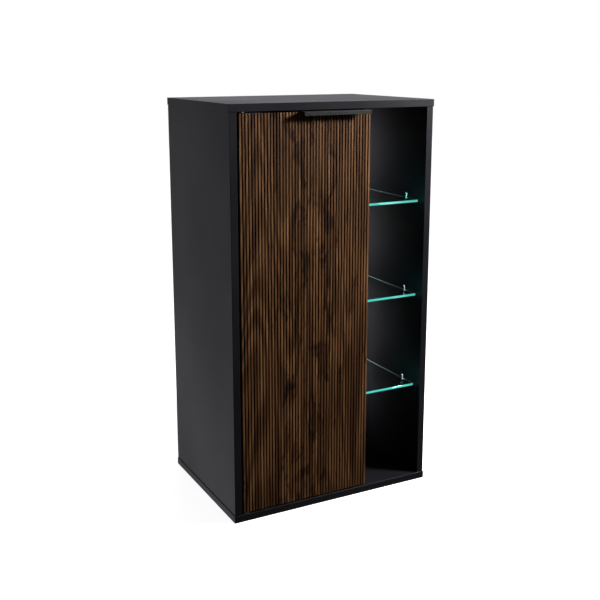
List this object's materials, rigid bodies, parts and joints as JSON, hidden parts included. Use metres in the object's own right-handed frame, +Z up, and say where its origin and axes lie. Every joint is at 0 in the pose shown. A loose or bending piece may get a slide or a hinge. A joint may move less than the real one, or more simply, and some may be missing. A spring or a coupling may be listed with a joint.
{
  "type": "media cabinet",
  "caption": "Upright black media cabinet with a fluted walnut door and an open side bay of edge-lit glass shelves.",
  "frame": {"origin": "on the floor under the middle of the overall box, the edge pull's reach included", "axes": "+Z up, the front and its door face -Y, +X to the right when seen from the front"},
  "size_m": [0.55, 0.41, 1],
  "materials": {
    "black_laminate": "satin black laminate on chipboard",
    "walnut": "open-pored dark walnut, satin",
    "back_board": "matt black fibreboard",
    "clear_glass": "clear float glass, polished edges, lit from the rear edge",
    "chrome": "bright chrome",
    "black_metal": "satin black powder coat",
    "zinc_steel": "zinc-plated steel",
    "beech": "plain beech",
    "clear_plastic": "soft translucent plastic",
    "black_plastic": "moulded, fine grain",
    "magnet": "sintered ferrite",
    "led_lamp": "lit diffuser"
  },
  "bodies": {
    "carcass": {"top_board": "black_laminate", "bottom_board": "black_laminate", "left_side": "black_laminate", "right_side": "black_laminate", "divider": "black_laminate", "back_panel": "back_board", "shelf_lower": "black_laminate", "shelf_middle": "black_laminate", "shelf_upper": "black_laminate", "dowels": "beech", "back_panel_screws": "zinc_steel", "cable_grommet": "black_plastic", "wall_bracket": "zinc_steel", "bracket_screws": "zinc_steel", "shelf_pins": "zinc_steel", "glass_shelf_lower": "clear_glass", "glass_shelf_middle": "clear_glass", "glass_shelf_upper": "clear_glass", "glass_supports": "chrome", "glass_pads": "clear_plastic", "led_clips": "chrome", "led_lamps": "led_lamp", "catch_body": "black_plastic", "catch_magnet": "magnet", "catch_screws": "zinc_steel", "door_bumpers": "clear_plastic", "pivot_bushes": "black_plastic"},
    "door": {"fluted_face": "walnut", "door_core": "walnut", "edge_pull": "black_metal", "pull_screws": "black_metal", "pivot_plates": "black_metal", "pivot_pins": "zinc_steel", "top_plate_screws": "black_metal", "bottom_plate_screws": "black_metal", "striker_plate": "zinc_steel", "striker_screws": "zinc_steel"}
  },
  "joints": [
    {"name": "door_hinge", "type": "hinge", "parent": "carcass", "child": "door", "pos_m": [-0.2425, -0.175, 0.5], "axis": [0, 0, -1], "range_deg": [0, 105]}
  ]
}
